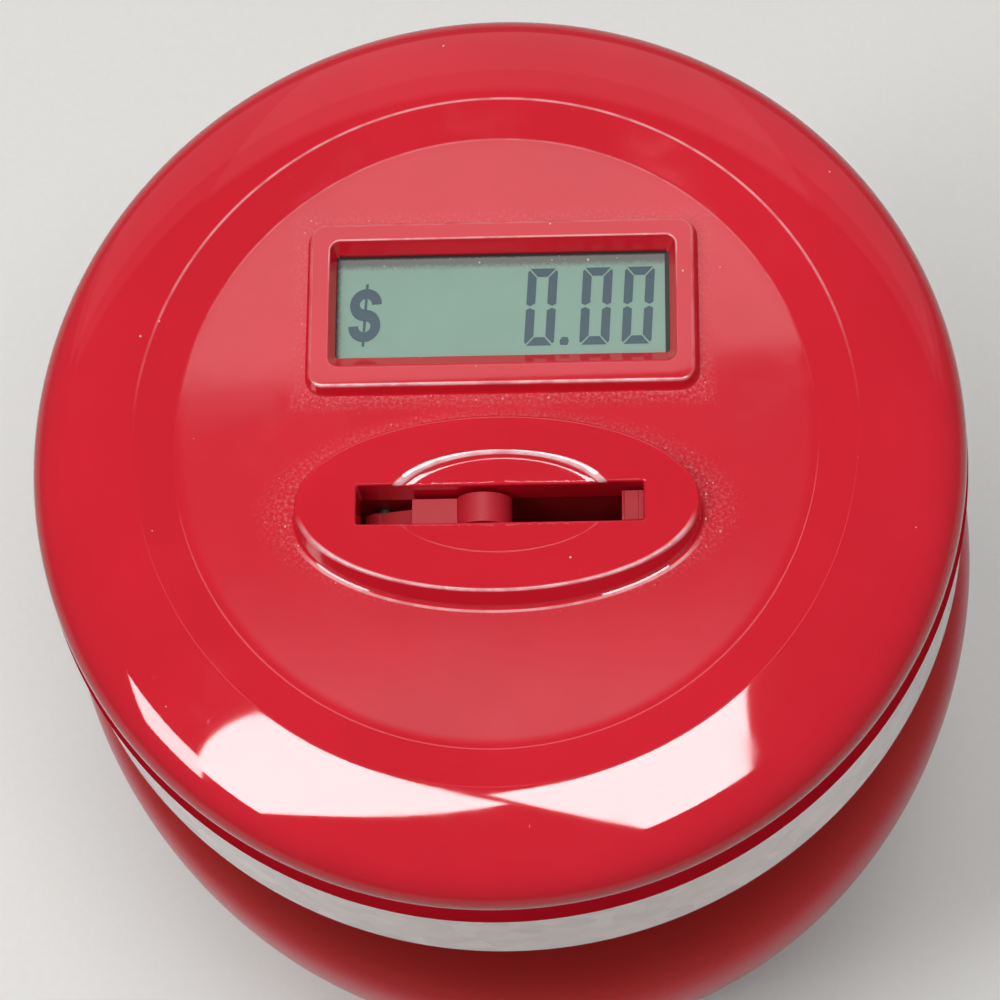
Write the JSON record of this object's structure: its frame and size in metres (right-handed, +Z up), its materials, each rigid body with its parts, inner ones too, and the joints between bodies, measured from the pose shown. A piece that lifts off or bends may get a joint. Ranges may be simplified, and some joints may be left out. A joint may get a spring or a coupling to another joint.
{
  "type": "coin counter bank",
  "caption": "Pot-bellied savings jar with a bayonet lid that takes coins through a slot, measures them with a sprung lever and shows the sum on a liquid crystal display.",
  "frame": {"origin": "middle of the foot ring, on the surface that the bank stands on", "axes": "+Z up through the lid, -Y towards the person who reads the display, +X to that person's right"},
  "size_m": [0.117, 0.117, 0.1457],
  "materials": {
    "body_red": "deep red metallic lacquer",
    "bright_band": "vacuum-plated bright",
    "lid_red": "glossy moulded red",
    "seal_rubber": "matte",
    "lcd_glass": "grey-green reflective display",
    "black_plastic": "matte",
    "board_green": "solder mask",
    "steel": "nickel-plated",
    "cable_grey": "satin",
    "wire_red": "satin",
    "cell_jacket": "plain printed jacket"
  },
  "bodies": {
    "jar": {"jar_body": "body_red", "trim_band": "bright_band"},
    "seal": {"seal_ring": "seal_rubber"},
    "lid": {"lid_shell": "lid_red", "display_bezel": "lid_red", "slot_bezel": "lid_red", "lcd_glass": "lcd_glass", "lcd_holder": "black_plastic", "zebra_strip": "seal_rubber", "circuit_board": "board_green", "controller_chip": "black_plastic", "crystal_can": "steel", "reset_switch": "black_plastic", "coin_chute": "lid_red", "lever_spring": "steel", "sensor_board": "board_green", "sensor_cable": "cable_grey", "lid_base": "lid_red", "battery_1": "cell_jacket", "battery_2": "cell_jacket", "positive_contact": "steel", "negative_contact": "steel", "bridge_contact": "steel", "positive_wire": "wire_red", "negative_wire": "black_plastic", "door_pin": "steel", "board_screw_1": "steel", "board_screw_2": "steel", "board_screw_3": "steel", "board_screw_4": "steel", "base_screw_1": "steel", "base_screw_2": "steel", "base_screw_3": "steel", "base_screw_4": "steel"},
    "lever": {"coin_lever": "lid_red", "lever_shaft": "steel", "wiper": "black_plastic"},
    "battery_door": {"battery_door": "lid_red"},
    "reset_button": {"reset_button": "black_plastic"}
  },
  "joints": [
    {"name": "lid_lift", "type": "slide", "parent": "jar", "child": "seal", "axis": [0, 0, 1], "range_m": [0, 0.09]},
    {"name": "lid_turn", "type": "hinge", "parent": "seal", "child": "lid", "pos_m": [0, 0, 0.1435], "axis": [0, 0, -1], "range_deg": [0, 45]},
    {"name": "lever_swing", "type": "hinge", "parent": "lid", "child": "lever", "pos_m": [-0.0135, -0.0094, 0.1345], "axis": [0, 1, 0], "range_deg": [0, 110], "stiffness_Nm_per_rad": 0.002, "springref_deg": -20.05},
    {"name": "battery_door_hinge", "type": "hinge", "parent": "lid", "child": "battery_door", "pos_m": [0, 0.03175, 0.1187], "axis": [1, 0, 0], "range_deg": [0, 90]},
    {"name": "reset_press", "type": "slide", "parent": "lid", "child": "reset_button", "axis": [0, 0, 1], "range_m": [0, 0.0012], "stiffness_N_per_m": 200, "springref_m": -0.0005}
  ]
}
